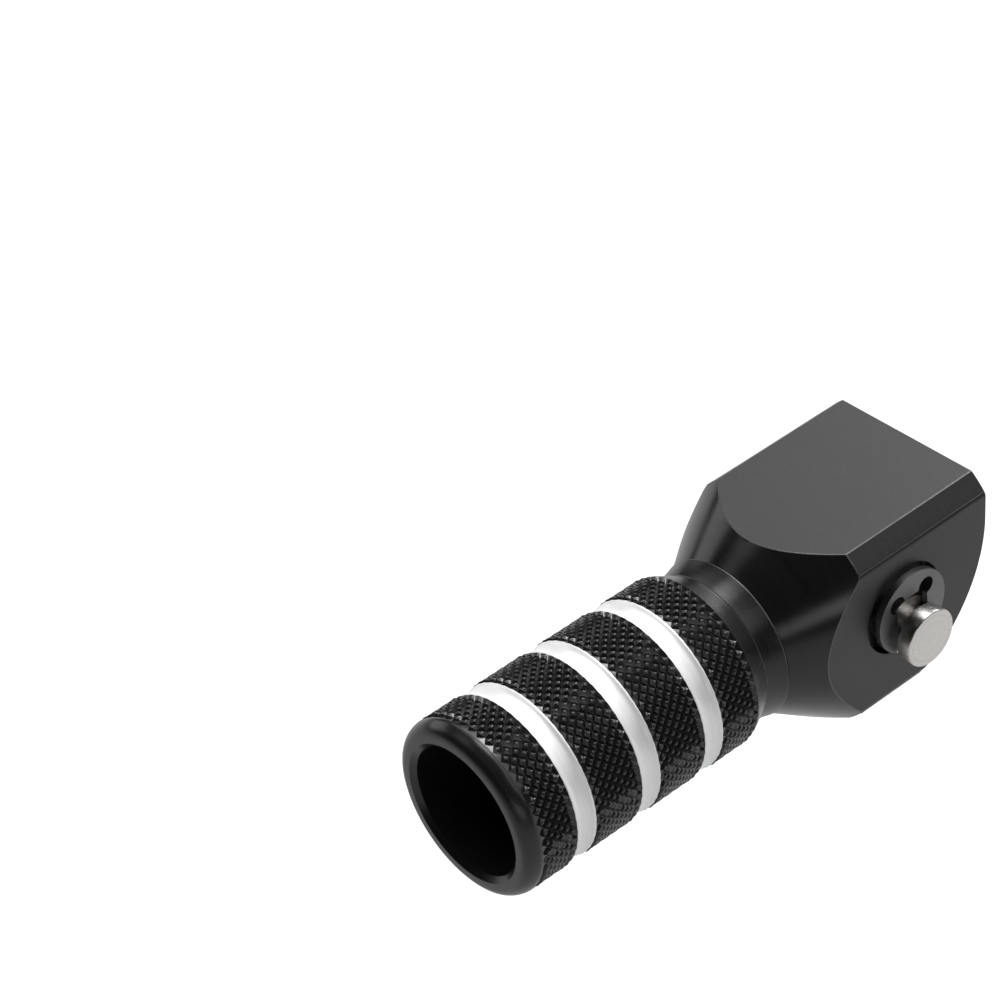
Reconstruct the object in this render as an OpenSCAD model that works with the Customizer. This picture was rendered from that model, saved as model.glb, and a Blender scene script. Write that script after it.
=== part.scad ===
// Folding toe peg of a motorcycle gear shift lever.
// Frame: the origin lies on the pivot pin's axis, in the middle of the slot that takes the
// lever's eye. +X runs along the peg to its open end, +Y along the pin to its clip, and +Z is up,
// out of the head's top flat.

/* [Head] */
// Diameter of the round bar that the head is turned from
bar_d = 26; // [25:0.5:28]
// Width across the head's two side flats
head_w = 20.2; // [19:0.1:21]
// Height of the peg's turning axis above the pivot pin
axis_rise = 0.9; // [0.5:0.1:1.5]
// Height of the top flat above the turning axis
top_flat = 10; // [9:0.1:10.5]
// Depth of the bottom flat below the turning axis
bottom_flat = 9.9; // [9:0.1:10.5]
// Distance from the pivot to the head's rear face
rear_reach = 11; // [10.5:0.1:12]
// Radius that blends the rear face into the bottom flat
rear_round = 15.4; // [14:0.1:16]
// Distance from the pivot to the wide end of the cone
cone_start = 6; // [5:0.1:7]

/* [Neck] */
// Distance from the pivot to the narrow end of the cone
cone_end = 13.6; // [13:0.05:13.75]
// Diameter at the narrow end of the cone
cone_end_d = 16; // [15.8:0.1:16.2]
// Distance from the pivot to the neck's sharp shoulder
shoulder_x = 13.8; // [13.8:0.05:14.5]
// Diameter of the neck's sharp shoulder
shoulder_d = 16.7; // [16.2:0.1:17]
// Diameter where the neck meets the barrel
neck_d = 15.7; // [15:0.1:16]
// Depth of the hollow turned into the neck
neck_hollow = 0.05; // [0.05:0.05:0.5]
// Distance from the pivot to the face that the barrel seats on
neck_end = 16.1; // [15.5:0.1:17]
// Diameter of the spigot that centres the barrel
spigot_d = 10; // [9:0.1:11]
// Length of the spigot
spigot_len = 2.5; // [2:0.1:3]

/* [Slot for the lever] */
// Width of the slot between the two cheeks
slot_w = 12.6; // [12:0.1:13]
// Distance from the pivot to the slot's closed front end
slot_front = 5.6; // [5.2:0.1:6]
// Thickness of the web above the slot
web = 3.6; // [3:0.1:4]

/* [Barrel] */
// Outside diameter of the barrel
barrel_d = 18; // [17:0.5:20]
// Distance from the pivot to the barrel's open end
barrel_end = 46.6; // [44:0.1:50]
// Distance from the pivot to the end of the barrel's neck chamfer
chamfer_end = 18.3; // [17.5:0.1:19]
// Distance from the pivot to the start of the rounded nose
nose_start = 44.9; // [42:0.1:45]
// Distance from the pivot to the middle of the first ring groove
groove_first = 24; // [22:0.1:24]
// Distance between one ring groove and the next
groove_pitch = 7.85; // [7:0.05:8]
// Number of ring grooves
groove_count = 3; // [1:1:3]
// Width of a ring groove
groove_w = 2.25; // [1.5:0.05:3]
// Depth of a ring groove
groove_depth = 0.3; // [0.2:0.05:0.8]
// Diameter of the open bore
bore_d = 13.3; // [12:0.1:14]
// Depth of the open bore
bore_depth = 15; // [12:0.5:16]
// Diameter of the deeper bore round the screw head
screw_bore_d = 10.8; // [10.6:0.1:11.5]

/* [Pivot pin and clip] */
// Diameter of the pivot pin
pin_d = 6; // [5.5:0.1:6.5]
// Distance from the middle of the slot to the pin's clip end
pin_end = 13.3; // [12:0.1:14]
// Diameter of the pin's head
pin_head_d = 9; // [8:0.1:9.2]
// Thickness of the pin's head
pin_head_h = 1.2; // [1:0.1:1.4]
// Diameter of the clip's groove in the pin
clip_groove_d = 4; // [3.5:0.1:4.5]
// Outside diameter of the clip
clip_d = 8.8; // [8.5:0.1:9.4]
// Thickness of the clip
clip_t = 0.7; // [0.5:0.1:1]
// Distance from the pin's axis to the centre of the clip's rim
clip_offset = 2.1; // [1.5:0.1:2.3]
// Turn of the clip about the pin
clip_turn = 3; // [-15:1:15]
// Turn of the clip's recess about the pin
recess_turn = 8; // [-15:1:15]
// Diameter of the recesses in the cheeks
recess_d = 9.6; // [9.5:0.1:10]
// Depth of the recesses in the cheeks
recess_h = 1.5; // [1:0.1:1.8]

/* [Return spring] */
// Diameter of the spring wire
wire_d = 0.9; // [0.7:0.1:1]
// Gap between the pin and the inside of the coil
coil_gap = 0.3; // [0.2:0.05:0.4]
// Full turns in the coil, before the last quarter turn
coil_turns = 4; // [2:1:4]
// Length of the leg that reaches back under the lever
spring_leg = 9; // [6:0.5:10]

/* [Barrel screw] */
// Diameter of the screw
screw_d = 6; // [5:1:6]
// Length of the screw below its head
screw_len = 16; // [15:1:16]
// Diameter of the screw's head
screw_head_d = 10; // [9:0.5:10]
// Height of the screw's head
screw_head_h = 6; // [5:0.5:6]
// Width across the flats of the hexagon socket
socket_af = 5; // [4:1:5]
// Thickness of the lock washer
washer_t = 1.6; // [1:0.1:1.8]

/* [Hidden] */
$fn = 96;

anodised = [0.07, 0.07, 0.075];
bright_steel = [0.78, 0.78, 0.77];
spring_steel = [0.45, 0.45, 0.46];

over = 1;                        // how far a cutter runs past what it cuts
running_play = 0.03;             // radial play of the pin in the cheeks
seat_play = 0.02;                // radial play of the spigot and the screw thread
screw_play = 0.3;                // radial play of the screw in the barrel's floor

top_z = axis_rise + top_flat;
bottom_z = axis_rise - bottom_flat;
roof_z = top_z - web;
side_y = head_w / 2;
floor_x = barrel_end - bore_depth;
screw_seat = neck_end + 7;       // inside face of the barrel's floor
head_seat = screw_seat + washer_t;
screw_tip = head_seat - screw_len;
pin_head_y = -side_y + recess_h;
clip_outer = side_y + 0.93;      // the clip stands this far out of the cheek
clip_inner = clip_outer - clip_t;
collar_start = clip_outer + 0.65;
coil_r = pin_d / 2 + coil_gap + wire_d / 2;
coil_pitch = wire_d * 1.06;
coil_start = -slot_w / 2 + 0.1 + wire_d / 2;
steps_per_turn = 24;
wire_sides = 8;

// A turned shape about the peg's axis: outline points are [radius, distance along X].
module turned_on_peg(outline) {
    translate([0, 0, axis_rise])
        rotate([0, 90, 0])
            rotate_extrude()
                polygon(outline);
}

// A cylinder about the peg's axis, from x0 to x1.
module peg_rod(d, x0, x1) {
    translate([x0, 0, axis_rise])
        rotate([0, 90, 0])
            cylinder(d = d, h = x1 - x0);
}

// A cylinder along the pin's direction, from y0 to y1, at height z.
module pin_rod(d, y0, y1, z = 0) {
    translate([0, y1, z])
        rotate([90, 0, 0])
            cylinder(d = d, h = y1 - y0);
}

// Points of a shallow hollow from [r0, x0] to [r1, x1], without its two ends.
function hollow(r0, x0, r1, x1, depth, n = 8) =
    [for (i = [1:n - 1])
        let (t = i / n)
            [r0 + (r1 - r0) * t - 4 * depth * t * (1 - t), x0 + (x1 - x0) * t]];

module head_blank() {
    turned_on_peg(concat(
        [[0, -rear_reach], [bar_d / 2, -rear_reach], [bar_d / 2, cone_start],
         [cone_end_d / 2, cone_end], [shoulder_d / 2, shoulder_x]],
        hollow(shoulder_d / 2, shoulder_x, neck_d / 2, neck_end, neck_hollow),
        [[neck_d / 2, neck_end], [spigot_d / 2, neck_end],
         [spigot_d / 2, neck_end + spigot_len], [0, neck_end + spigot_len]]));
}

// The milled outline seen along the pin: top flat, rear face, big rear round and bottom flat.
module head_profile() {
    far = neck_end + spigot_len + over;
    round_x = rear_round - rear_reach;
    round_z = bottom_z + rear_round;
    intersection() {
        translate([-rear_reach, -side_y, bottom_z])
            cube([far + rear_reach, head_w, top_z - bottom_z]);
        union() {
            pin_block(-rear_reach, far, round_z, top_z + over);
            pin_block(round_x, far, bottom_z - over, top_z);
            translate([round_x, side_y + over, round_z])
                rotate([90, 0, 0])
                    cylinder(r = rear_round, h = head_w + 2 * over, $fn = 180);
        }
    }
}

// A block across the head's whole width, from x0 to x1 and z0 to z1.
module pin_block(x0, x1, z0, z1) {
    translate([x0, -side_y - over, z0])
        cube([x1 - x0, head_w + 2 * over, z1 - z0]);
}

module lever_slot() {
    front_r = 2;
    translate([-rear_reach - over, -slot_w / 2, bottom_z - over])
        cube([rear_reach + over + slot_front - front_r, slot_w, roof_z - bottom_z + over]);
    translate([0, -slot_w / 2, bottom_z - over])
        cube([slot_front, slot_w, roof_z - front_r - bottom_z + over]);
    translate([slot_front - front_r, slot_w / 2, roof_z - front_r])
        rotate([90, 0, 0])
            cylinder(r = front_r, h = slot_w);
}

module clevis_head() {
    color(anodised)
        difference() {
            intersection() {
                head_blank();
                head_profile();
            }
            lever_slot();
            pin_rod(pin_d + 2 * running_play, -side_y - over, side_y + over);
            pin_rod(recess_d, -side_y - over, -side_y + recess_h);
            rotate([0, recess_turn, 0])
                pin_rod(recess_d, side_y - recess_h, side_y + over, clip_offset);
            peg_rod(screw_d + 2 * seat_play, screw_tip - 0.7, neck_end + spigot_len + over);
        }
}

// Points round a ring groove, cut as a shallow hollow in the barrel's outside.
function groove_points(x) =
    concat([[barrel_d / 2, x - groove_w / 2]],
           hollow(barrel_d / 2, x - groove_w / 2, barrel_d / 2, x + groove_w / 2, groove_depth),
           [[barrel_d / 2, x + groove_w / 2]]);

function all_grooves() =
    [for (i = [0:groove_count - 1]) each groove_points(groove_first + i * groove_pitch)];

// A quarter-ellipse nose from the full diameter to the end face.
function nose_points(n = 8) =
    let (long = barrel_end - nose_start, deep = 1.25)
        [for (i = [0:n])
            let (a = 90 * i / n)
                [barrel_d / 2 - deep * (1 - cos(a)), nose_start + long * sin(a)]];

module toe_barrel() {
    lip = 0.5;
    color(anodised)
        difference() {
            turned_on_peg(concat(
                [[0, neck_end], [neck_d / 2, neck_end], [barrel_d / 2, chamfer_end]],
                all_grooves(),
                nose_points(),
                [[bore_d / 2 + lip, barrel_end], [bore_d / 2, barrel_end - lip],
                 [bore_d / 2, floor_x], [0, floor_x]]));
            peg_rod(screw_bore_d, screw_seat, floor_x + over);
            peg_rod(screw_d + 2 * screw_play, neck_end - over, screw_seat + over);
            peg_rod(spigot_d + 2 * seat_play, neck_end - over, neck_end + spigot_len + 0.3);
        }
}

module barrel_screw() {
    socket_depth = 3;
    bevel = 0.4;
    color(bright_steel)
        difference() {
            turned_on_peg([[0, screw_tip], [screw_d / 2 - bevel, screw_tip],
                           [screw_d / 2, screw_tip + bevel], [screw_d / 2, head_seat],
                           [screw_head_d / 2, head_seat],
                           [screw_head_d / 2, head_seat + screw_head_h - bevel],
                           [screw_head_d / 2 - bevel, head_seat + screw_head_h],
                           [0, head_seat + screw_head_h]]);
            translate([head_seat + screw_head_h - socket_depth, 0, axis_rise])
                rotate([0, 90, 0])
                    cylinder(d = socket_af / cos(30), h = socket_depth + over, $fn = 6);
        }
}

module lock_washer() {
    split = 0.8;
    color(spring_steel)
        difference() {
            peg_rod(screw_head_d, screw_seat, head_seat);
            peg_rod(screw_d + 0.2, screw_seat - over, head_seat + over);
            translate([screw_seat - over, -split / 2, axis_rise])
                cube([washer_t + 2 * over, split, screw_head_d]);
        }
}

module pivot_pin() {
    bevel = 0.15;
    color(bright_steel)
        rotate([-90, 0, 0])
            rotate_extrude()
                polygon([[0, pin_head_y - pin_head_h],
                         [pin_head_d / 2 - bevel, pin_head_y - pin_head_h],
                         [pin_head_d / 2, pin_head_y - pin_head_h + bevel],
                         [pin_head_d / 2, pin_head_y], [pin_d / 2, pin_head_y],
                         [pin_d / 2, clip_inner - 0.05], [clip_groove_d / 2, clip_inner - 0.05],
                         [clip_groove_d / 2, collar_start], [pin_d / 2, collar_start],
                         [pin_d / 2, pin_end - bevel], [pin_d / 2 - bevel, pin_end],
                         [0, pin_end]]);
}

// An E-type clip: a disc with a mouth below, two ears above and flanks that grip the groove.
module retaining_clip() {
    grip = clip_groove_d + 0.04;
    ear_x = 1.9;
    ear_z = 4;
    ear_d = 1.9;
    thick = clip_t + 2 * over;
    color(spring_steel)
        rotate([0, clip_turn, 0])
            difference() {
                pin_rod(clip_d, clip_inner, clip_outer, clip_offset);
                translate([-grip / 2, clip_inner - over, 0])
                    cube([grip, thick, ear_z]);
                pin_rod(grip, clip_inner - over, clip_outer + over);
                for (side = [-1, 1])
                    translate([side * ear_x, 0, 0])
                        pin_rod(ear_d, clip_inner - over, clip_outer + over, ear_z);
                translate([0, clip_outer + over, 0])
                    rotate([90, 0, 0])
                        linear_extrude(thick)
                            polygon([[-grip / 2, 0.1], [grip / 2, 0.1], [grip / 2, -0.6],
                                     [grip / 2 + 1.2, -clip_d / 2], [-grip / 2 - 1.2, -clip_d / 2],
                                     [-grip / 2, -0.6]]);
            }
}

// The spring's wire path: a leg down from the web, the coil round the pin, and a leg under the lever.
function coil_point(a) =
    [coil_r * cos(a), coil_start - coil_pitch * a / 360, coil_r * sin(a)];

coil_angle = 360 * coil_turns + 90;
coil_steps = steps_per_turn * (coil_turns + 0.25);
spring_path = concat(
    [[coil_r, coil_start, roof_z - wire_d / 2 - 0.1]],
    [for (i = [0:coil_steps]) coil_point(-coil_angle * i / coil_steps)],
    [[-spring_leg, coil_start + coil_pitch * coil_angle / 360, -coil_r]]);

function unit(v) = v / norm(v);

// Direction of the path at point i, from its neighbours.
function path_heading(path, i) =
    unit(path[min(i + 1, len(path) - 1)] - path[max(i - 1, 0)]);

// A ring of points round the path at point i.
function wire_ring(path, i) =
    let (t = path_heading(path, i), n = unit(cross(t, [0, 1, 0])), b = cross(n, t))
        [for (k = [0:wire_sides - 1])
            path[i] + wire_d / 2 * (cos(360 * k / wire_sides) * n + sin(360 * k / wire_sides) * b)];

module wire(path) {
    rings = len(path);
    side = wire_sides;
    polyhedron(
        points = [for (i = [0:rings - 1]) each wire_ring(path, i)],
        faces = concat(
            [[for (k = [0:side - 1]) k]],
            [for (i = [0:rings - 2]) for (k = [0:side - 1])
                [i * side + k, (i + 1) * side + k,
                 (i + 1) * side + (k + 1) % side, i * side + (k + 1) % side]],
            [[for (k = [side - 1:-1:0]) (rings - 1) * side + k]]));
}

module return_spring() {
    color(spring_steel)
        wire(spring_path);
}

clevis_head();
toe_barrel();
barrel_screw();
lock_washer();
pivot_pin();
retaining_clip();
return_spring();
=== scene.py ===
# %% [markdown]
# # A folding toe peg for a gear shift lever
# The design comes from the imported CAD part, which this script loads as a fixed frame. Each piece
# is then made again with the detail that a maker would see on the bench: the diamond knurl, the
# broken edges, the marks that the lathe leaves and the finish of each metal.

# %% Load the frame
import math

import bmesh
import bpy
from mathutils import Matrix, Quaternion, Vector


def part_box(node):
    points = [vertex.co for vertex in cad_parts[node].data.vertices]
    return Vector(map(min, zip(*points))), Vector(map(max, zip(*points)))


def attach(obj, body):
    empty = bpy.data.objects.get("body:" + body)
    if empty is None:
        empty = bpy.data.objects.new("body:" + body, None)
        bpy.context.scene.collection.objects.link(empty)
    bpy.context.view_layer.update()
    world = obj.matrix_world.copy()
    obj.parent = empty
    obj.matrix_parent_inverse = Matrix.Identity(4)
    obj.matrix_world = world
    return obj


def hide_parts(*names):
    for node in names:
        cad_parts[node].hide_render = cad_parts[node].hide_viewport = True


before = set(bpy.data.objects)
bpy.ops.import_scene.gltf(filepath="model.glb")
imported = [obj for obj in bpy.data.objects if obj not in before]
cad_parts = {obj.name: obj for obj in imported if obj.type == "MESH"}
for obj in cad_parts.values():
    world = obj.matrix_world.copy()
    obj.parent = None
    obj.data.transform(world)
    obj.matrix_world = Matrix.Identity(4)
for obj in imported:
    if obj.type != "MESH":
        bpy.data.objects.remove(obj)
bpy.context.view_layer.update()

MM = 0.001
print("nodes:", sorted(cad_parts))

# %% [markdown]
# ## The camera
# A long lens from a little above keeps the peg's parallel edges nearly parallel, as in a
# catalogue picture. The camera is made first, because everything else is judged through it.
# Its aim is a point beyond the object, so that the peg stands to the right of the middle.

# %% Camera
camera_place = Vector((175.91, 173.64, 203.91)) * MM
camera_aim = Vector((14.19, -31.22, 0.9)) * MM
camera_roll = -0.0981
camera_lens = 120.05

camera = bpy.data.objects.new("camera", bpy.data.cameras.new("camera"))
bpy.context.scene.collection.objects.link(camera)
camera.data.lens = camera_lens
camera.data.sensor_width = 36
camera.data.clip_start = 0.01
camera.location = camera_place
facing = (camera_aim - camera_place).to_track_quat("-Z", "Y")
camera.rotation_mode = "QUATERNION"
camera.rotation_quaternion = facing @ Quaternion((0, 0, 1), camera_roll)
bpy.context.scene.camera = camera
bpy.context.scene.view_settings.view_transform = "Standard"
print("camera distance, mm:", round(camera_place.length / MM))

# %% [markdown]
# ## The studio
# Black anodising shows little colour of its own. What the eye reads as its shape is what it
# reflects, so the lamps are placed by the law of reflection: each flat of the head is made light
# or dark by what stands in its mirror direction. The peg hangs from its lever, so the floor lies
# well below it and leaves room for the folded barrel. The floor is pale to the camera and a
# middle grey in reflections. That grey is painted shade: it stands in for the shadow that the
# peg would cast on a table close under it, and it darkens the faces that mirror the floor.

# %% Lamps, world and floor
floor_drop = 60 * MM
floor_reach = 3.0
# Tone of the floor in reflections: painted shade for the peg's shadow on a table under it.
floor_reflected_shade_tone = 0.48
backdrop_tone = 0.93
backdrop_strength = 0.08
middle = Vector((10, 0, 0)) * MM


def softbox(name, direction, distance, width, height, brightness, mirrored=True):
    """A rectangular lamp in the given direction from the object, facing the object."""
    lamp = bpy.data.lights.new(name, "AREA")
    lamp.shape = "RECTANGLE"
    lamp.size = width
    lamp.size_y = height
    lamp.energy = brightness * math.pi * width * height
    stand = bpy.data.objects.new(name, lamp)
    bpy.context.scene.collection.objects.link(stand)
    away = Vector(direction).normalized()
    stand.location = middle + away * distance
    stand.rotation_mode = "QUATERNION"
    stand.rotation_quaternion = away.to_track_quat("Z", "Y")
    stand.visible_glossy = mirrored
    return stand


softbox("top_flat_softbox", (-0.55, -0.54, 0.64), 1.2, 0.8, 0.8, 1.0)
softbox("back_wall_softbox", (-0.88, -0.15, 0.48), 1.5, 2.0, 0.7, 1.2)
softbox("knurl_strip", (-0.85, -0.27, 0.46), 1.1, 0.35, 0.35, 8.0)
softbox("top_back_softbox", (-0.5, 0.12, 0.86), 1.2, 1.1, 0.6, 1.2)
softbox("neck_softbox", (-0.22, 0.64, 0.74), 1.2, 0.45, 0.45, 1.2)
softbox("left_softbox", (0.1, -1.0, 0.3), 1.2, 0.8, 0.5, 1.2)
softbox("right_low_softbox", (0.44, 0.87, 0.22), 1.2, 0.9, 0.2, 1.6)
softbox("edge_softbox", (-0.6, 0.66, 0.45), 1.2, 0.5, 0.5, 0.8)
softbox("cone_softbox", (0.36, -0.5, 0.78), 1.2, 0.45, 0.45, 0.7)
softbox("neck_top_softbox", (-0.33, -0.15, 0.93), 1.2, 0.5, 0.5, 5.0)
softbox("overhead_fill", (-0.2, -0.2, 1.0), 1.5, 2.0, 2.0, 2.1, mirrored=False)

world = bpy.data.worlds.new("studio")
bpy.context.scene.world = world
world.use_nodes = True
sky = world.node_tree
backdrop = sky.nodes["Background"]
backdrop.inputs["Strength"].default_value = backdrop_strength
seen = sky.nodes.new("ShaderNodeBackground")
seen.inputs["Color"].default_value = (backdrop_tone,) * 3 + (1,)
ray = sky.nodes.new("ShaderNodeLightPath")
mix = sky.nodes.new("ShaderNodeMixShader")
sky.links.new(ray.outputs["Is Camera Ray"], mix.inputs[0])
sky.links.new(backdrop.outputs[0], mix.inputs[1])
sky.links.new(seen.outputs[0], mix.inputs[2])
sky.links.new(mix.outputs[0], sky.nodes["World Output"].inputs["Surface"])

# %% [markdown]
# ## Helpers for materials
# A material is a small network of nodes. These helpers place a node, join two sockets and start
# a node group, so that the finishes below read as short recipes.

# %% Node helpers


def node(tree, kind, **settings):
    """Adds a node to a tree and sets its properties."""
    made = tree.nodes.new("ShaderNode" + kind)
    for key, value in settings.items():
        setattr(made, key, value)
    return made


def join(tree, source, target):
    """Links an output socket to an input socket."""
    tree.links.new(source, target)


def start_group(name, inputs, outputs):
    """A new node group with float or vector sockets; returns its tree and its two end nodes."""
    tree = bpy.data.node_groups.new(name, "ShaderNodeTree")
    for label, default in inputs.items():
        kind = "NodeSocketVector" if default is None else "NodeSocketFloat"
        socket = tree.interface.new_socket(label, in_out="INPUT", socket_type=kind)
        if default is not None:
            socket.default_value = default
    for label in outputs:
        tree.interface.new_socket(label, in_out="OUTPUT", socket_type="NodeSocketFloat")
    return tree, tree.nodes.new("NodeGroupInput"), tree.nodes.new("NodeGroupOutput")


def maths(tree, operation, a, b=0.0):
    """A Math node on two values, each a number or a socket; returns its output."""
    made = node(tree, "Math", operation=operation)
    for socket, value in zip(made.inputs, (a, b)):
        if isinstance(value, (int, float)):
            socket.default_value = value
        else:
            join(tree, value, socket)
    return made.outputs[0]


# %% [markdown]
# ## Shared effects
# The metals here share three effects. Lathe marks are fine rings about a turning axis: the tool
# feeds forward a little each turn, so their height is a wave along the outline that a noise makes
# waver. Grain is the fine speckle that blasting and anodising leave. Handling is the broad, faint
# unevenness that skin oil and wiping leave on a finish.

# %% Effect groups
tone_coarseness = 0.22
feed_waver = 3.0
feed_height = 0.35


def make_lathe_marks(name, along, height):
    """Rings about an axis along X or Y at the given height; the rings follow the outline."""
    tree, ins, outs = start_group(name, {"Place": None, "Lines per mm": 8.0}, ["Height", "Tone"])
    split = node(tree, "SeparateXYZ")
    join(tree, ins.outputs["Place"], split.inputs[0])
    station = split.outputs[along]
    across = split.outputs["Y" if along == "X" else "X"]
    up = maths(tree, "SUBTRACT", split.outputs["Z"], height)
    radius = maths(tree, "SQRT", maths(tree, "ADD", maths(tree, "MULTIPLY", across, across),
                                       maths(tree, "MULTIPLY", up, up)))
    along_outline = maths(tree, "MULTIPLY", maths(tree, "SUBTRACT", station, radius), 1000.0)
    for label, coarseness in (("Height", 1.0), ("Tone", tone_coarseness)):
        rings = node(tree, "TexNoise", noise_dimensions="1D")
        rings.inputs["Scale"].default_value = 1.0
        rings.inputs["Detail"].default_value = 2.0
        lines = maths(tree, "MULTIPLY", ins.outputs["Lines per mm"], coarseness)
        feeds = maths(tree, "MULTIPLY", along_outline, lines)
        join(tree, feeds, rings.inputs["W"])
        value = rings.outputs["Fac"]
        if label == "Height":
            waver = maths(tree, "MULTIPLY", value, feed_waver)
            phase = maths(tree, "ADD", maths(tree, "MULTIPLY", feeds, math.tau), waver)
            value = maths(tree, "MULTIPLY", maths(tree, "SINE", phase), feed_height)
        join(tree, value, outs.inputs[label])
    return tree


def make_grain():
    """Fine speckle: one noise for relief and a finer one for the colour."""
    tree, ins, outs = start_group("fine_grain", {"Place": None, "Grains per mm": 9.0},
                                  ["Height", "Speckle"])
    for label, factor in (("Height", 1000.0), ("Speckle", 2300.0)):
        speckle = node(tree, "TexNoise")
        speckle.inputs["Detail"].default_value = 3.0
        join(tree, ins.outputs["Place"], speckle.inputs["Vector"])
        join(tree, maths(tree, "MULTIPLY", ins.outputs["Grains per mm"], factor),
             speckle.inputs["Scale"])
        join(tree, speckle.outputs["Fac"], outs.inputs[label])
    return tree


def make_handling():
    """Broad, faint patches; the output runs from Least to Most."""
    tree, ins, outs = start_group("handling", {"Place": None, "Least": 0.3, "Most": 0.4},
                                  ["Value"])
    patches = node(tree, "TexNoise")
    patches.inputs["Scale"].default_value = 160.0
    patches.inputs["Detail"].default_value = 4.0
    join(tree, ins.outputs["Place"], patches.inputs["Vector"])
    spread = node(tree, "MapRange")
    spread.inputs["From Min"].default_value = 0.3
    spread.inputs["From Max"].default_value = 0.7
    join(tree, patches.outputs["Fac"], spread.inputs["Value"])
    join(tree, ins.outputs["Least"], spread.inputs["To Min"])
    join(tree, ins.outputs["Most"], spread.inputs["To Max"])
    join(tree, spread.outputs["Result"], outs.inputs["Value"])
    return tree


barrel_low, barrel_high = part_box("toe_barrel")
axis_z = (barrel_low.z + barrel_high.z) / 2
peg_lathe = make_lathe_marks("peg_lathe_marks", "X", axis_z)
pin_lathe = make_lathe_marks("pin_lathe_marks", "Y", 0.0)
grain = make_grain()
handling = make_handling()
print("peg axis height, mm:", round(axis_z / MM, 3))

# %% [markdown]
# ## One recipe for every metal
# Each finish is a Principled shader. Its colour varies a little with the grain and the marks,
# its roughness with handling, and a Bump node turns the marks and the grain into relief.

# %% Metal recipe


def metal(name, dark, light, rough, metallic, lathe=None, lines=8.0, mark_depth=0.0,
          grains=9.0, grain_depth=0.0, marks_from=None):
    """A metal or anodised finish; depths are in millimetres. The marks may fade in along X."""
    made = bpy.data.materials.new(name)
    made.use_nodes = True
    tree = made.node_tree
    shader = tree.nodes["Principled BSDF"]
    shader.inputs["Metallic"].default_value = metallic
    place = node(tree, "TexCoord").outputs["Object"]

    fine = node(tree, "Group", node_tree=grain)
    fine.inputs["Grains per mm"].default_value = grains
    join(tree, place, fine.inputs["Place"])
    touch = node(tree, "Group", node_tree=handling)
    touch.inputs["Least"].default_value = rough[0]
    touch.inputs["Most"].default_value = rough[1]
    join(tree, place, touch.inputs["Place"])
    join(tree, touch.outputs["Value"], shader.inputs["Roughness"])

    tone = fine.outputs["Speckle"]
    relief = maths(tree, "MULTIPLY", fine.outputs["Height"], grain_depth)
    if lathe is not None:
        rings = node(tree, "Group", node_tree=lathe)
        rings.inputs["Lines per mm"].default_value = lines
        join(tree, place, rings.inputs["Place"])
        tone = maths(tree, "MULTIPLY", maths(tree, "ADD", tone, rings.outputs["Tone"]), 0.5)
        marks = maths(tree, "MULTIPLY", rings.outputs["Height"], mark_depth)
        if marks_from is not None:
            split = node(tree, "SeparateXYZ")
            join(tree, place, split.inputs[0])
            fade = node(tree, "MapRange")
            fade.inputs["From Min"].default_value = marks_from[0] * MM
            fade.inputs["From Max"].default_value = marks_from[1] * MM
            fade.inputs["To Min"].default_value = 0.12
            join(tree, split.outputs["X"], fade.inputs["Value"])
            marks = maths(tree, "MULTIPLY", marks, fade.outputs["Result"])
        relief = maths(tree, "ADD", relief, marks)
    spread = node(tree, "MapRange")
    spread.inputs["From Min"].default_value = 0.35
    spread.inputs["From Max"].default_value = 0.65
    join(tree, tone, spread.inputs["Value"])
    blend = node(tree, "Mix", data_type="RGBA")
    blend.inputs["A"].default_value = (*dark, 1)
    blend.inputs["B"].default_value = (*light, 1)
    join(tree, spread.outputs["Result"], blend.inputs["Factor"])
    join(tree, blend.outputs["Result"], shader.inputs["Base Color"])
    bump = node(tree, "Bump")
    bump.inputs["Strength"].default_value = 1.0
    bump.inputs["Distance"].default_value = MM
    join(tree, relief, bump.inputs["Height"])
    join(tree, bump.outputs["Normal"], shader.inputs["Normal"])
    return made


head_turned = metal("anodised_turned_head", (0.006, 0.006, 0.0065), (0.010, 0.010, 0.011),
                    (0.17, 0.24), 0.0, peg_lathe, 4.0, 0.010, 9.0, 0.0008,
                    marks_from=(8.0, 12.5))
head_bar = metal("anodised_bar_skin", (0.006, 0.006, 0.0065), (0.010, 0.010, 0.011),
                 (0.24, 0.30), 0.0, peg_lathe, 9.0, 0.004, 9.0, 0.0008)
head_milled = metal("anodised_milled_flat", (0.006, 0.006, 0.0065), (0.016, 0.016, 0.0165),
                    (0.30, 0.38), 0.0, grains=7.0, grain_depth=0.010)
head_inside = metal("anodised_slot_walls", (0.006, 0.006, 0.0065), (0.010, 0.010, 0.010),
                    (0.38, 0.46), 0.0, grains=7.0, grain_depth=0.003)
# The bevels on the head's edges are lighter and partly metallic: a painted highlight for the thin
# bright lines along its edges.
head_edge_highlight = metal("anodised_edge_painted_highlight", (0.06, 0.06, 0.061), (0.16, 0.16, 0.161),
                   (0.26, 0.34), 0.6, grains=5.0, grain_depth=0.001)
barrel_knurl = metal("anodised_knurl", (0.006, 0.006, 0.0065), (0.012, 0.012, 0.0125),
                     (0.13, 0.20), 0.0, grains=12.0, grain_depth=0.001)
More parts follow.
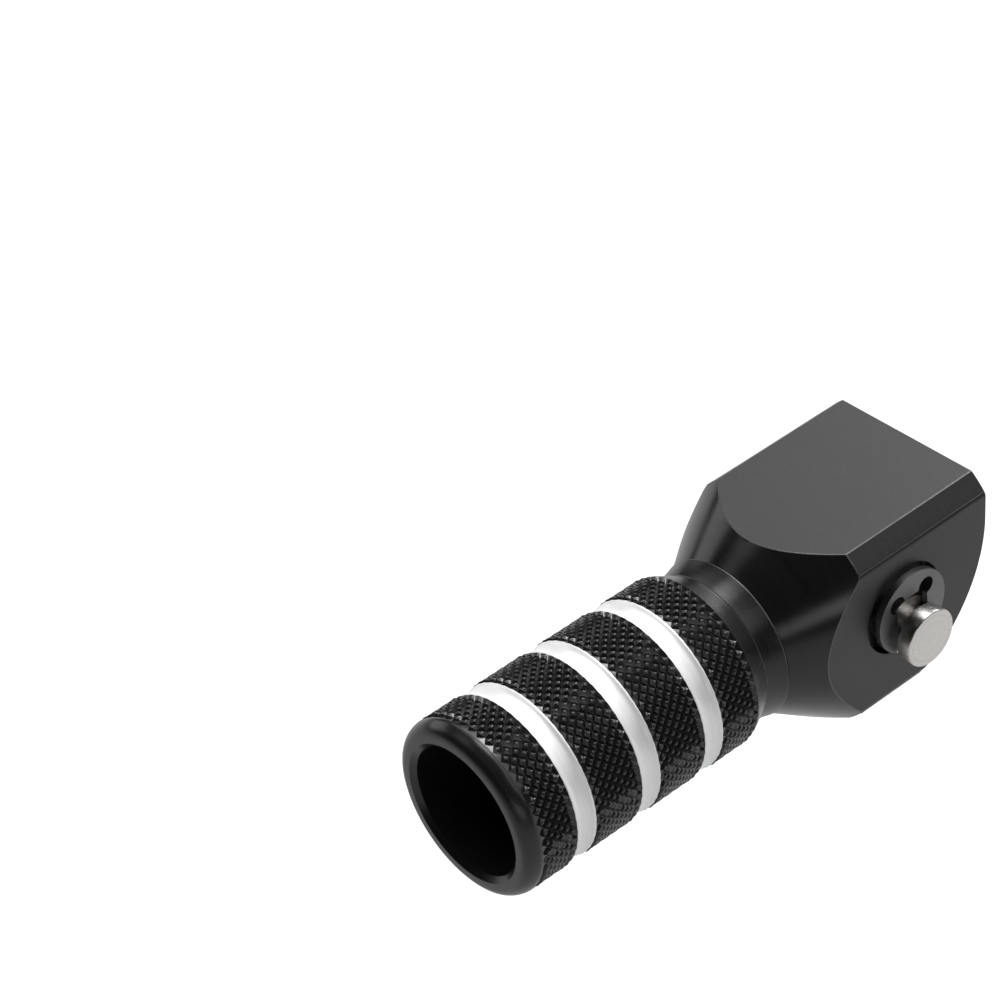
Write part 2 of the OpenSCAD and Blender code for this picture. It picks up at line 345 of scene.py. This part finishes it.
# The rims round the knurl's blunted points are lighter and partly metallic: a painted glint for the
# bright dashes along the knurl.
knurl_rim_glint = metal("knurl_rim_painted_glint", (0.012, 0.012, 0.012), (0.05, 0.05, 0.05),
                    (0.14, 0.22), 0.3, grains=2.0, grain_depth=0.001)
barrel_smooth = metal("anodised_turned_barrel", (0.008, 0.008, 0.0085), (0.014, 0.014, 0.0145),
                      (0.20, 0.28), 0.0, peg_lathe, 12.0, 0.003, 10.0, 0.001)
ring_aluminium = metal("bare_cut_aluminium", (0.90, 0.90, 0.91), (0.96, 0.96, 0.97),
                       (0.38, 0.46), 0.5, peg_lathe, 10.0, 0.002, 10.0, 0.0004)
pin_steel = metal("turned_pin_steel", (0.64, 0.62, 0.60), (0.72, 0.70, 0.68),
                  (0.24, 0.32), 1.0, pin_lathe, 14.0, 0.003, 12.0, 0.0005)
clip_steel = metal("tumbled_clip_steel", (0.15, 0.15, 0.153), (0.22, 0.22, 0.224),
                   (0.34, 0.46), 1.0, grains=8.0, grain_depth=0.002)
spring_steel = metal("drawn_spring_wire", (0.34, 0.34, 0.35), (0.46, 0.46, 0.47),
                     (0.26, 0.36), 1.0, grains=8.0, grain_depth=0.001)
screw_zinc = metal("zinc_plated_screw", (0.46, 0.46, 0.47), (0.62, 0.62, 0.63),
                   (0.24, 0.36), 1.0, peg_lathe, 6.0, 0.002, 8.0, 0.001)
washer_steel = metal("plain_washer_steel", (0.26, 0.26, 0.27), (0.36, 0.36, 0.37),
                     (0.34, 0.46), 1.0, grains=8.0, grain_depth=0.002)
floor_paper = metal("pale_floor", (0.86, 0.86, 0.86), (0.90, 0.90, 0.90),
                    (0.7, 0.8), 0.0, grains=0.5, grain_depth=0.02)

floor_mesh = bmesh.new()
bmesh.ops.create_grid(floor_mesh, x_segments=1, y_segments=1, size=floor_reach,
                      matrix=Matrix.Translation((0, 0, -floor_drop)))
floor = bpy.data.objects.new("floor", bpy.data.meshes.new("floor"))
floor_mesh.to_mesh(floor.data)
floor_mesh.free()
floor.data.materials.append(floor_paper)
floor_tree = floor_paper.node_tree
floor_shader = floor_tree.nodes["Principled BSDF"]
painted = floor_shader.inputs["Base Color"].links[0].from_socket
# Rays other than the camera's see the floor in a middle grey: painted shade that stands in for the
# peg's shadow beneath it.
floor_painted_shade_mix = node(floor_tree, "Mix", data_type="RGBA")
floor_painted_shade_mix.inputs["A"].default_value = (floor_reflected_shade_tone,) * 3 + (1,)
join(floor_tree, node(floor_tree, "LightPath").outputs["Is Camera Ray"], floor_painted_shade_mix.inputs["Factor"])
join(floor_tree, painted, floor_painted_shade_mix.inputs["B"])
join(floor_tree, floor_painted_shade_mix.outputs["Result"], floor_shader.inputs["Base Color"])
bpy.context.scene.collection.objects.link(floor)
print("materials:", len(bpy.data.materials))

# %% [markdown]
# ## Helpers for shapes
# Most of this object is lathe work, so most pieces start as an outline that is spun about an
# axis. Milled faces, slots and holes are then cut with exact booleans, which is how the real
# piece is machined: turn the bar first, then mill the flats.

# %% Shape helpers
ALONG_X = Vector((1, 0, 0))
ALONG_Y = Vector((0, 1, 0))
UP = Vector((0, 0, 1))
WELD = 1e-7


def turned(outline, axis, height, steps, ring=False):
    """Spins (station, radius) points, in mm, about an axis; ring closes the outline on itself."""
    centre = UP * height
    bm = bmesh.new()
    points = [bm.verts.new(centre + (axis * station + UP * radius) * MM)
              for station, radius in outline]
    edges = [bm.edges.new(pair) for pair in zip(points, points[1:])]
    if ring:
        edges.append(bm.edges.new((points[-1], points[0])))
    bmesh.ops.spin(bm, geom=points + edges, cent=centre, axis=axis, dvec=(0, 0, 0),
                   angle=math.tau, steps=steps, use_merge=True)
    bmesh.ops.remove_doubles(bm, verts=bm.verts, dist=WELD)
    bmesh.ops.recalc_face_normals(bm, faces=bm.faces)
    return bm


def prism(outline, axis, start, end):
    """Extrudes a closed outline of points, in mm, from one station to another along an axis."""
    bm = bmesh.new()
    face = bm.faces.new([bm.verts.new((point + axis * start) * MM) for point in outline])
    made = bmesh.ops.extrude_face_region(bm, geom=[face])
    moved = [part for part in made["geom"] if isinstance(part, bmesh.types.BMVert)]
    bmesh.ops.translate(bm, vec=axis * (end - start) * MM, verts=moved)
    bmesh.ops.recalc_face_normals(bm, faces=bm.faces)
    return bm


def arc(centre, radius, first, last, steps):
    """Points on an arc in a plane, from one angle to another, in degrees."""
    return [(centre[0] + radius * math.cos(math.radians(first + (last - first) * i / steps)),
             centre[1] + radius * math.sin(math.radians(first + (last - first) * i / steps)))
            for i in range(steps + 1)]


def as_object(name, bm, materials):
    """Makes an object at the origin from a bmesh."""
    made = bpy.data.objects.new(name, bpy.data.meshes.new(name))
    bm.to_mesh(made.data)
    bm.free()
    for material in materials:
        made.data.materials.append(material)
    bpy.context.scene.collection.objects.link(made)
    return made


def settle(piece):
    """Applies a piece's modifiers to its mesh."""
    graph = bpy.context.evaluated_depsgraph_get()
    piece.data = bpy.data.meshes.new_from_object(piece.evaluated_get(graph))
    piece.modifiers.clear()


def cut(piece, bm, material, operation="DIFFERENCE"):
    """One exact boolean; the new faces take the material given."""
    tool = as_object("tool", bm, [material])
    step = piece.modifiers.new("cut", "BOOLEAN")
    step.operation = operation
    step.solver = "EXACT"
    step.material_mode = "TRANSFER"
    step.object = tool
    settle(piece)
    bpy.data.objects.remove(tool)


def tidy_mesh(piece, weld=0.012 * MM):
    """Welds the slivers that cutting leaves and joins flat faces into one."""
    bm = bmesh.new()
    bm.from_mesh(piece.data)
    bmesh.ops.remove_doubles(bm, verts=bm.verts, dist=weld)
    bmesh.ops.dissolve_degenerate(bm, dist=weld / 4, edges=bm.edges)
    bmesh.ops.dissolve_limit(bm, angle_limit=math.radians(0.4), verts=bm.verts, edges=bm.edges,
                             delimit={"MATERIAL"})
    for face in bm.faces:
        face.smooth = True
    bm.to_mesh(piece.data)
    open_edges = sum(1 for edge in bm.edges if len(edge.link_faces) != 2)
    print(piece.name, "faces:", len(bm.faces), "open edges:", open_edges)
    bm.free()


def finish_edges(piece, width, angle, slot_index=-1, segments=2, clamp=True):
    """Breaks the sharp edges; clamp holds the width back wherever the mesh has short edges."""
    bevel = piece.modifiers.new("broken_edges", "BEVEL")
    bevel.width = width * MM
    bevel.segments = segments
    bevel.limit_method = "ANGLE"
    bevel.angle_limit = math.radians(angle)
    bevel.material = slot_index
    bevel.miter_outer = "MITER_ARC"
    bevel.use_clamp_overlap = clamp
    shade = piece.modifiers.new("even_shading", "WEIGHTED_NORMAL")
    shade.keep_sharp = True


# %% [markdown]
# ## The clevis head
# The real head is turned from round bar: a cylinder, a cone down to the neck, and a spigot that
# centres the barrel. It is then milled flat on four sides, rounded at the lower rear, slotted
# for the lever and bored for the pin. The blank is spun here and then cut in the same order.

# %% Turn the head
head_low, head_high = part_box("clevis_head")
bar_radius = 13.0
cone_start = 6.0
cone_end = 13.6
cone_end_radius = 8.0
shoulder_x = 13.8
shoulder_radius = 8.35
neck_radius = 7.85
neck_hollow = 0.05
neck_end = barrel_low.x / MM
spigot_radius = 5.0
spigot_break = 0.3
spigot_play = 0.02
spigot_end = head_high.x / MM
rear_x = head_low.x / MM
side_y = head_high.y / MM
top_z = head_high.z / MM
bottom_z = head_low.z / MM
axis_mm = axis_z / MM
round_steps = 192
mark_start = 10.6
mark_pitch = 0.24
mark_depth = 0.015


def hollow(x0, r0, x1, r1, depth, steps, power=2):
    """Points of a hollow between two outline points, without its ends; more power, flatter floor."""
    shares = [i / steps for i in range(1, steps)]
    return [(x0 + (x1 - x0) * t, r0 + (r1 - r0) * t - depth * (1 - abs(2 * t - 1) ** power))
            for t in shares]


def turning_marks():
    """Points of the fine grooves that the tool leaves on the cone, four to a groove."""
    slope = (cone_end_radius - bar_radius) / (cone_end - cone_start)
    count = int((cone_end - mark_start) / mark_pitch * 4)
    stations = [mark_start + mark_pitch / 4 * i for i in range(count)]
    return [(x, bar_radius + slope * (x - cone_start) - mark_depth * (0, 0.5, 1, 0.5)[i % 4])
            for i, x in enumerate(stations)]


head_outline = [(rear_x - 1, 0), (rear_x - 1, bar_radius), (cone_start, bar_radius)]
head_outline += turning_marks()
head_outline += [(cone_end, cone_end_radius), (shoulder_x, shoulder_radius)]
head_outline += hollow(shoulder_x, shoulder_radius, neck_end, neck_radius, neck_hollow, 8)
head_outline += [(neck_end, neck_radius), (neck_end, spigot_radius),
                 (spigot_end - spigot_break, spigot_radius),
                 (spigot_end, spigot_radius - spigot_break),
                 (spigot_end, 0)]
head = as_object("machined_head", turned(head_outline, ALONG_X, axis_z, round_steps),
                 [head_turned])
print("head blank faces:", len(head.data.polygons))

# %% [markdown]
# The side flats meet the turned bar in a soft line, where the part has been tumbled, and the
# top flat meets it in a crisp one. So the cutter for the sides has a radius at its corners and
# the cutter for the top has none.

# %% Mill the head
rear_round = 15.4
side_soften = 0.7
soften_bite = 0.03
past_flat = 4
overreach = 1.2
beyond = 20.0


def side_quarter(sign_y, sign_z):
    """Soft corner of the side cutter, seen along the peg, in one quarter."""
    inner = bar_radius - side_soften - soften_bite
    centre_y = side_y - side_soften
    centre_z = math.sqrt(inner ** 2 - centre_y ** 2)
    turn = math.degrees(math.atan2(centre_z, centre_y)) + past_flat
    points = arc((centre_y, centre_z), side_soften, 0, turn, 8)
    tip_y, tip_z = points[-1]
    points.append((tip_y * overreach, tip_z * overreach))
    points.append((tip_y * overreach, beyond))
    return [Vector((0, sign_y * y, sign_z * z + axis_mm)) for y, z in points]


outline = side_quarter(1, 1) + side_quarter(-1, 1)[::-1]
outline += side_quarter(-1, -1) + side_quarter(1, -1)[::-1]
cut(head, prism(outline, ALONG_X, rear_x - 5, spigot_end + 5), head_milled, "INTERSECT")

round_x = rear_x + rear_round
round_z = bottom_z + rear_round
outline = [(x, z) for x, z in arc((round_x, round_z), rear_round, 180, 270, 48)]
outline += [(beyond, bottom_z), (beyond, top_z), (rear_x, top_z)]
outline = [Vector((x, 0, z)) for x, z in outline]
cut(head, prism(outline, ALONG_Y, -beyond, beyond), head_milled, "INTERSECT")

slot_half = 6.3
slot_front = 5.6
slot_corner = 2.0
roof_z = 7.3
outline = [(rear_x - 2, bottom_z - 2), (slot_front, bottom_z - 2)]
outline += arc((slot_front - slot_corner, roof_z - slot_corner), slot_corner, 0, 90, 12)
outline += [(rear_x - 2, roof_z)]
outline = [Vector((x, 0, z)) for x, z in outline]
cut(head, prism(outline, ALONG_Y, -slot_half, slot_half), head_inside)

# %% Bore the head
pin_bore = 3.03
recess_radius = 4.8
recess_depth = 1.5
clip_offset = 2.1
clip_turn = math.radians(3)
recess_turn = math.radians(8)
thread_bore = 3.02
thread_start = 8.0
recess_centre = Matrix.Rotation(recess_turn, 3, "Y") @ Vector((0, 0, clip_offset))


def rod(radius, start, end):
    """Outline of a plain rod."""
    return [(start, 0), (start, radius), (end, radius), (end, 0)]


def pin_rod(radius, start, end, offset=Vector((0, 0, 0)), steps=96):
    """A rod along the pin, set off from the pin's axis."""
    bm = turned(rod(radius, start, end), ALONG_Y, 0, steps)
    bmesh.ops.translate(bm, vec=offset * MM, verts=bm.verts)
    return bm


cut(head, pin_rod(pin_bore, -beyond, beyond), head_inside)
cut(head, pin_rod(recess_radius, -beyond, recess_depth - side_y), head_inside)
cut(head, pin_rod(recess_radius, side_y - recess_depth, beyond, recess_centre), head_inside)
cut(head, turned(rod(thread_bore, thread_start, beyond + 5), ALONG_X, axis_z, 96), head_inside)
tidy_mesh(head, weld=0.04 * MM)
head.data.materials.append(head_bar)
for face in head.data.polygons:
    on_cone = cone_start * MM <= face.center.x <= cone_end * MM
    if head.data.materials[face.material_index] == head_turned and not on_cone:
        face.material_index = head.data.materials.find(head_bar.name)
# The bevels take the painted highlight colour.
head.data.materials.append(head_edge_highlight)
finish_edges(head, 0.07, 24, slot_index=len(head.data.materials) - 1, clamp=False)
head.data.set_sharp_from_angle(angle=math.radians(24))
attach(head, "tip")
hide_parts("clevis_head")
print("head materials:", [m.name for m in head.data.materials])

# %% [markdown]
# ## The barrel and its knurl
# A diamond knurl is rolled into the bar by two wheels with slanting teeth, and leaves rows of
# small four-sided points. Here the outline has a row of vertices every half pitch. After the
# spin, every second vertex is pushed in, in the manner of a chessboard, and joined to its
# diagonal neighbours, so the rest stand up as points. A vertex bevel then blunts them.

# %% Turn the barrel
barrel_radius = (barrel_high.z - axis_z) / MM
barrel_end = barrel_high.x / MM
chamfer_end = 18.3
nose_start = 44.9
groove_first = 24.0
groove_pitch = 7.85
groove_count = 3
groove_width = 2.25
groove_depth = 0.3
nose_drop = 1.25
nose_turn = 9
bore_radius = 6.65
bore_floor = barrel_end - 15
lip = 0.5
screw_bore_radius = 5.4
screw_seat = neck_end + 7
screw_hole_radius = 3.3
counterbore_end = spigot_end + 0.3
knurl_around = 51
knurl_depth = 0.27
knurl_top_share = 0.42
knurl_chamfer = 0.07
knurl_crown = 0.035
band_edge_drop = 0.08
band_edge_notch = 0.05
band_skin = 0.6
same_station = 0.01
barrel_steps = 2 * knurl_around
half_pitch = math.tau * barrel_radius / barrel_steps

grooves = [groove_first + groove_pitch * i for i in range(groove_count)]
band_starts = [chamfer_end] + [x + groove_width / 2 for x in grooves]
band_ends = [x - groove_width / 2 for x in grooves] + [nose_start]
barrel_outline = [(neck_end, neck_radius)]
knurl_stations = []
for index, (start, end) in enumerate(zip(band_starts, band_ends)):
    rows = round((end - start) / half_pitch)
    for row in range(rows + 1):
        station = start + (end - start) * row / rows
        knurl_stations.append((station, row, row in (0, rows)))
        barrel_outline.append((station, barrel_radius))
    if index < groove_count:
        barrel_outline += hollow(end, barrel_radius, end + groove_width, barrel_radius,
                                 groove_depth, 18, power=3)
nose_length = barrel_end - nose_start
barrel_outline += [(nose_start + nose_length * math.sin(math.radians(a)),
                    barrel_radius - nose_drop * (1 - math.cos(math.radians(a))))
                   for a in range(nose_turn, 91, nose_turn)]
barrel_outline += [(barrel_end, bore_radius + lip), (barrel_end - lip, bore_radius),
                   (bore_floor, bore_radius), (bore_floor, screw_bore_radius),
                   (screw_seat, screw_bore_radius), (screw_seat, screw_hole_radius),
                   (counterbore_end, screw_hole_radius),
                   (counterbore_end, spigot_radius + spigot_play),
                   (neck_end, spigot_radius + spigot_play)]
barrel_bm = turned(barrel_outline, ALONG_X, axis_z, barrel_steps, ring=True)
print("barrel turned, faces:", len(barrel_bm.faces), "knurl rows:", len(knurl_stations))

# %% Roll the knurl
valleys, peaks, edge_valleys, edge_peaks = [], [], [], []
for vert in barrel_bm.verts:
    up = vert.co.z - axis_z
    if math.hypot(vert.co.y, up) < (barrel_radius - same_station) * MM:
        continue
    x = vert.co.x / MM
    found = [entry for entry in knurl_stations if abs(entry[0] - x) < same_station]
    if not found:
        continue
    column = round(math.atan2(vert.co.y, up) / math.tau * barrel_steps)
    _, row, at_end = found[0]
    is_valley = (row + column) % 2
    if at_end:
        (edge_valleys if is_valley else edge_peaks).append(vert)
    else:
        (valleys if is_valley else peaks).append(vert)


def lift(vert, radius):
    """Moves a vertex to a radius, in mm, about the peg's axis."""
    away = Vector((0, vert.co.y, vert.co.z - axis_z)).normalized()
    vert.co = Vector((vert.co.x, 0, axis_z)) + away * radius * MM


valley_radius = barrel_radius - knurl_depth
top_radius = barrel_radius - knurl_crown
point_radius = valley_radius + (top_radius - valley_radius) / (1 - knurl_top_share)
for vert in valleys:
    lift(vert, valley_radius)
for vert in peaks:
    lift(vert, point_radius)
for vert in edge_valleys:
    lift(vert, barrel_radius - band_edge_drop - band_edge_notch)
for vert in edge_peaks:
    lift(vert, barrel_radius - band_edge_drop)
for face in barrel_bm.faces:
    face.smooth = True
    face.material_index = 1
    x = face.calc_center_median().x / MM
    r = math.hypot(face.calc_center_median().y, face.calc_center_median().z - axis_z) / MM
    if r > barrel_radius - band_skin:
        if any(a < x < b for a, b in zip(band_starts, band_ends)):
            face.material_index = 0
        elif any(abs(x - g) < groove_width / 2 for g in grooves):
            face.material_index = 2
bmesh.ops.connect_verts(barrel_bm, verts=valleys + edge_valleys)
point_edge = math.hypot(half_pitch, point_radius - valley_radius)
blunted = bmesh.ops.bevel(barrel_bm, geom=peaks, offset=point_edge * knurl_top_share * MM,
                          offset_type="OFFSET", segments=1, profile=0.5, affect="VERTICES",
                          material=-1)
rims = bmesh.ops.inset_individual(barrel_bm, faces=blunted["faces"], thickness=knurl_chamfer * MM,
                                  depth=knurl_crown * MM)
# The rims take the painted glint colour.
for face in rims["faces"]:
    face.material_index = 3
barrel = as_object("knurled_barrel", barrel_bm,
                   [barrel_knurl, barrel_smooth, ring_aluminium, knurl_rim_glint])
barrel.data.set_sharp_from_angle(angle=math.radians(42))
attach(barrel, "tip")
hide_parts("toe_barrel")
print("barrel faces:", len(barrel.data.polygons))

# %% [markdown]
# ## The pivot pin
# The pin is turned steel: a flat head on the far side, a plain shank that the lever swings on,
# and beyond the clip's groove a short collar with a faced end.

# %% Pivot pin
pin_low, pin_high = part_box("pivot_pin")
clip_low, clip_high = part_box("retaining_clip")
pin_radius = 3.0
pin_head_radius = 4.5
pin_bevel = 0.15
pin_neck = 2.0
pin_neck_play = 0.05
collar_gap = 0.65
collar_break = 0.1
pin_start = pin_low.y / MM
pin_stop = pin_high.y / MM
pin_seat = recess_depth - side_y
collar_start = clip_high.y / MM + collar_gap
neck_start = clip_low.y / MM - pin_neck_play
corner = arc((pin_stop - pin_bevel, pin_radius - pin_bevel), pin_bevel, 90, 0, 4)
pin_outline = [(pin_start, 0), (pin_start, pin_head_radius - pin_bevel),
               (pin_start + pin_bevel, pin_head_radius), (pin_seat, pin_head_radius),
               (pin_seat, pin_radius), (neck_start, pin_radius), (neck_start, pin_neck),
               (collar_start, pin_neck), (collar_start, pin_radius - collar_break),
               (collar_start + collar_break, pin_radius)] + corner + [(pin_stop, 0)]
pin = as_object("turned_pivot_pin", turned(pin_outline, ALONG_Y, 0, 96), [pin_steel])
tidy_mesh(pin, weld=WELD)
pin.data.set_sharp_from_angle(angle=math.radians(24))
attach(pin, "pivot")
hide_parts("pivot_pin")

# %% [markdown]
# ## The retaining clip
# The clip is stamped from spring steel strip. Its mouth is pushed over the pin's groove, and
# two ears let the flanks spread.

# %% Retaining clip
clip_radius = 4.4
clip_start = clip_low.y / MM
clip_stop = clip_high.y / MM
grip_radius = 2.02
mouth_start = -0.6
mouth_flare = 1.2
ear_x = 1.9
ear_z = 4.0
ear_radius = 0.95
clip = as_object("stamped_clip", pin_rod(clip_radius, clip_start, clip_stop,
                                         Vector((0, 0, clip_offset)), 128), [clip_steel])
outline = [(-grip_radius, ear_z), (grip_radius, ear_z), (grip_radius, mouth_start),
           (grip_radius + mouth_flare, -clip_radius),
           (-grip_radius - mouth_flare, -clip_radius), (-grip_radius, mouth_start)]
outline = [Vector((x, 0, z)) for x, z in outline]
cut(clip, prism(outline, ALONG_Y, clip_start - 1, clip_stop + 1), clip_steel)
for side in (-1, 1):
    ear = Vector((side * ear_x, 0, ear_z))
    cut(clip, pin_rod(ear_radius, clip_start - 1, clip_stop + 1, ear, 40), clip_steel)
clip.data.transform(Matrix.Rotation(clip_turn, 4, "Y"))
tidy_mesh(clip)
finish_edges(clip, 0.09, 30, segments=3)
clip.data.set_sharp_from_angle(angle=math.radians(30))
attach(clip, "pivot")
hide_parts("retaining_clip")

# %% [markdown]
# ## The return spring
# A torsion spring of round wire winds about the pin. One leg bears on the lever and one on the
# head, so the peg springs back after it folds. The stretch of wire that the head carries with
# it is a piece of its own: it turns about the pin with the head.

# %% Return spring
wire_radius = 0.45
coil_radius = 3.75
coil_start = -5.75
coil_pitch = 0.954
coil_turns = 4.25
leg_play = 0.1
leg_top = roof_z - wire_radius - leg_play
leg_reach = -9.0
carried_turn = 100
wire_sides = 16


def coil_point(angle):
    """A point on the coil, in mm, at an angle in degrees wound from the head's leg."""
    turn = math.radians(angle)
    return Vector((coil_radius * math.cos(turn), coil_start + coil_pitch * angle / 360,
                   -coil_radius * math.sin(turn)))


def bent_wire(name, points):
    """Round wire along a path, as a closed mesh."""
    curve = bpy.data.curves.new(name, "CURVE")
    curve.dimensions = "3D"
    curve.bevel_depth = wire_radius * MM
    curve.bevel_resolution = wire_sides // 4
    curve.use_fill_caps = True
    spline = curve.splines.new("POLY")
    spline.points.add(len(points) - 1)
    for target, point in zip(spline.points, points):
        target.co = (*(point * MM), 1)
    holder = bpy.data.objects.new(name, curve)
    bpy.context.scene.collection.objects.link(holder)
    graph = bpy.context.evaluated_depsgraph_get()
    bm = bmesh.new()
    bm.from_mesh(holder.evaluated_get(graph).to_mesh())
    bpy.data.objects.remove(holder)
    bmesh.ops.remove_doubles(bm, verts=bm.verts, dist=WELD)
    bmesh.ops.recalc_face_normals(bm, faces=bm.faces)
    for face in bm.faces:
        face.smooth = len(face.verts) == 4
    return as_object(name, bm, [spring_steel])


step = 7.5
total = 360 * coil_turns
count = round((total - carried_turn) / step)
coil = [coil_point(carried_turn + (total - carried_turn) * i / count) for i in range(count + 1)]
leg_end = Vector((leg_reach, coil[-1].y, coil[-1].z))
lever_wire = bent_wire("spring_coil_and_lever_leg", coil + [leg_end])
count = round(carried_turn / step)
carried = [coil_point(carried_turn * i / count) for i in range(count + 1)]
leg_tip = Vector((coil_radius, coil_start, leg_top))
head_wire = bent_wire("spring_head_leg", [leg_tip] + carried)
for piece, body in ((lever_wire, "pivot"), (head_wire, "tip")):
    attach(piece, body)
    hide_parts("return_spring")
print("spring steps:", len(coil), len(carried))

# %% [markdown]
# ## The barrel screw and its washer
# An M6 cap screw inside the barrel holds it to the head, with a split washer under its head so
# that it doesn't shake loose. Only the socket is seen, at the bottom of the bore.

# %% Barrel screw and lock washer
screw_low, screw_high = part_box("barrel_screw")
screw_radius = 3.0
screw_head_radius = 5.0
screw_bevel = 0.4
socket_flats = 5.0
socket_depth = 3.0
washer_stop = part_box("lock_washer")[1].x / MM
screw_tip = screw_low.x / MM
screw_top = screw_high.x / MM
corner = arc((screw_top - screw_bevel, screw_head_radius - screw_bevel), screw_bevel, 90, 0, 5)
screw_outline = [(screw_tip, 0), (screw_tip, screw_radius - screw_bevel),
                 (screw_tip + screw_bevel, screw_radius), (washer_stop, screw_radius),
                 (washer_stop, screw_head_radius)] + corner + [(screw_top, 0)]
screw = as_object("cap_screw", turned(screw_outline, ALONG_X, axis_z, 96), [screw_zinc])
reach = socket_flats / 2 / math.cos(math.radians(30))
socket = [Vector((0, y, z + axis_mm)) for y, z in arc((0, 0), reach, 0, 300, 5)]
cut(screw, prism(socket, ALONG_X, screw_top - socket_depth, screw_top + 1), screw_zinc)
tidy_mesh(screw)
finish_edges(screw, 0.06, 28)
screw.data.set_sharp_from_angle(angle=math.radians(28))
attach(screw, "tip")
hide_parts("barrel_screw")

washer_hole = 3.1
washer_gap = 0.8
washer_reach = 8
washer_outline = [(screw_seat, washer_hole), (screw_seat, screw_head_radius),
                  (washer_stop, screw_head_radius), (washer_stop, washer_hole)]
washer = as_object("split_washer", turned(washer_outline, ALONG_X, axis_z, 96, ring=True),
                   [washer_steel])
gap = [(-washer_gap / 2, 0), (washer_gap / 2, 0), (washer_gap / 2, washer_reach),
       (-washer_gap / 2, washer_reach)]
gap = [Vector((0, y, z + axis_mm)) for y, z in gap]
cut(washer, prism(gap, ALONG_X, screw_seat - 1, washer_stop + 1), washer_steel)
tidy_mesh(washer)
finish_edges(washer, 0.08, 28)
washer.data.set_sharp_from_angle(angle=math.radians(28))
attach(washer, "tip")
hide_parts("lock_washer")
